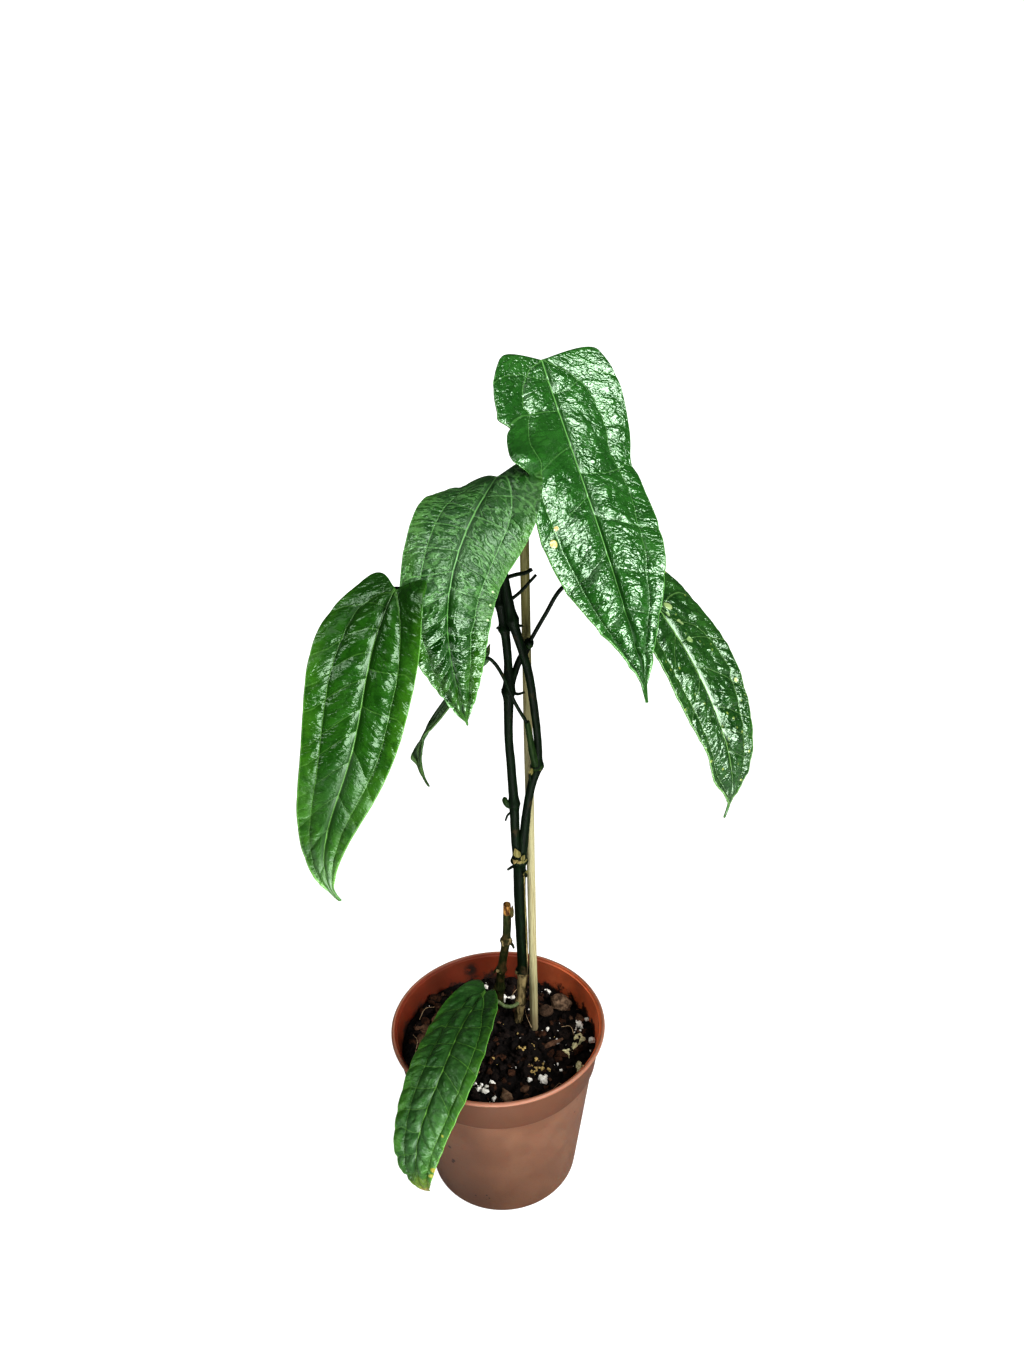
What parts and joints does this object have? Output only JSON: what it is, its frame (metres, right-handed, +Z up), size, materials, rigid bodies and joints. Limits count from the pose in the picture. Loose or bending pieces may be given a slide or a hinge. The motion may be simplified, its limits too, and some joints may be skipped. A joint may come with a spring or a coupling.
{
  "type": "potted plant",
  "caption": "Tall houseplant with long quilted leaves on thin dark stems, led up a wooden stake in a round brown plastic nursery pot filled with potting mix.",
  "frame": {"origin": "middle of the pot's flat underside, on the surface that it stands on", "axes": "+Z up along the stems, -Y towards the side that the leaves face, +X to the right seen from that side"},
  "size_m": [0.1946, 0.1818, 0.4592],
  "materials": {
    "pot_plastic": "satin terracotta brown",
    "potting_mix": "dark moist peat and bark with white perlite",
    "stake_wood": "bare pale wood",
    "green_stem": "smooth, very dark green",
    "old_stem": "dull green and brown",
    "glossy_leaf": "glossy green",
    "dull_leaf": "half matt green",
    "dark_leaf": "dark green",
    "clay": "matt",
    "stone": "matt",
    "bark": "rough"
  },
  "bodies": {
    "root": {"pot": "pot_plastic", "potting_mix": "potting_mix", "stake": "stake_wood", "stem": "green_stem", "cut_stem": "old_stem", "leaf_top": "glossy_leaf", "leaf_middle": "glossy_leaf", "leaf_left": "glossy_leaf", "leaf_right": "glossy_leaf", "leaf_low": "dull_leaf", "leaf_curled": "dark_leaf", "clay_pebble": "clay", "brown_pebble": "stone", "bark_twig": "bark", "bark_shard": "bark"}
  },
  "joints": []
}
